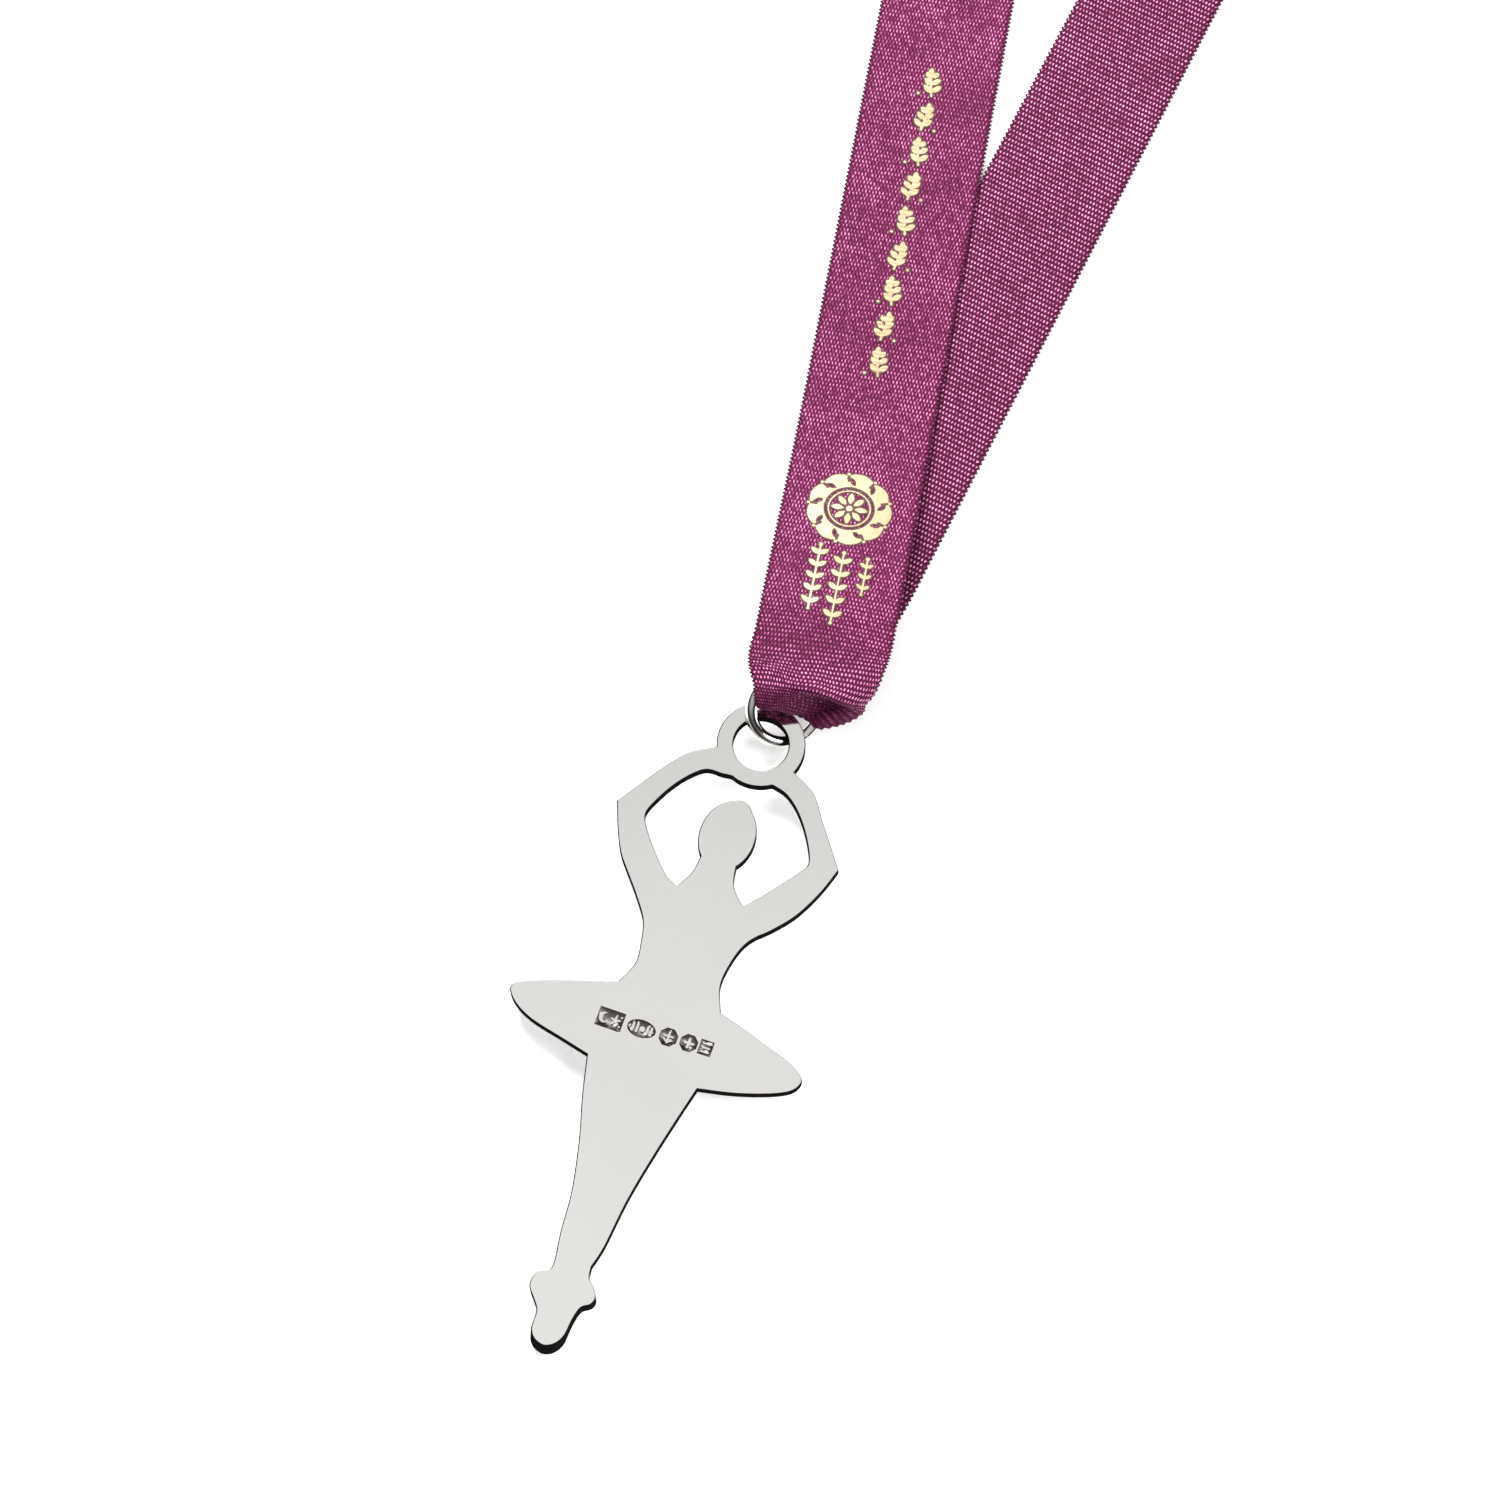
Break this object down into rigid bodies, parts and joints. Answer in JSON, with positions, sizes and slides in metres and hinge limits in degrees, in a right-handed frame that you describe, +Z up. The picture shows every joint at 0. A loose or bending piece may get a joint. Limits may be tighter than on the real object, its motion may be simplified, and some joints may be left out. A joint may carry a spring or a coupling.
{
  "type": "sports finisher medal",
  "caption": "Flat-backed silver dancer medal hung by a lug and jump ring from a long woven neck ribbon with gold print.",
  "frame": {"origin": "middle of the flat of the medal's relief, on the surface that the medal lies on", "axes": "+Y runs from the figure's toe to the ribbon, +Z is up out of the plain back, +X is to the right seen from the back"},
  "size_m": [0.0598, 0.2574, 0.0089],
  "materials": {
    "polished_silver": "mirror polished sterling silver, slightly warm",
    "ring_wire": "polished drawn silver wire",
    "ribbon": "ribbed woven ribbon with a soft satin glint",
    "seam_thread": "twisted sewing thread",
    "elastic_band": "flat braided elastic",
    "gold_foil": "hot-pressed pale gold foil"
  },
  "bodies": {
    "ribbon": {"ribbon_ring_loop": "ribbon", "ribbon_front_strand": "ribbon", "ribbon_back_strand": "ribbon", "ribbon_front_folds": "ribbon", "ribbon_back_folds": "ribbon", "ribbon_neck_run": "ribbon", "neck_seam_stitches": "seam_thread", "storage_bands": "elastic_band", "gold_emblem": "gold_foil", "gold_motif_row": "gold_foil"},
    "ring": {"jump_ring": "ring_wire"},
    "medal": {"medal": "polished_silver"}
  },
  "joints": [
    {"name": "ring_swing", "type": "hinge", "parent": "ribbon", "child": "ring", "pos_m": [0.00165, 0.0442, 0.00575], "axis": [1, 0, 0], "range_deg": [-90, 35]},
    {"name": "medal_swing", "type": "hinge", "parent": "ring", "child": "medal", "pos_m": [0, 0.036, 0.0027], "axis": [0, 0, 1], "range_deg": [-30, 30]}
  ]
}
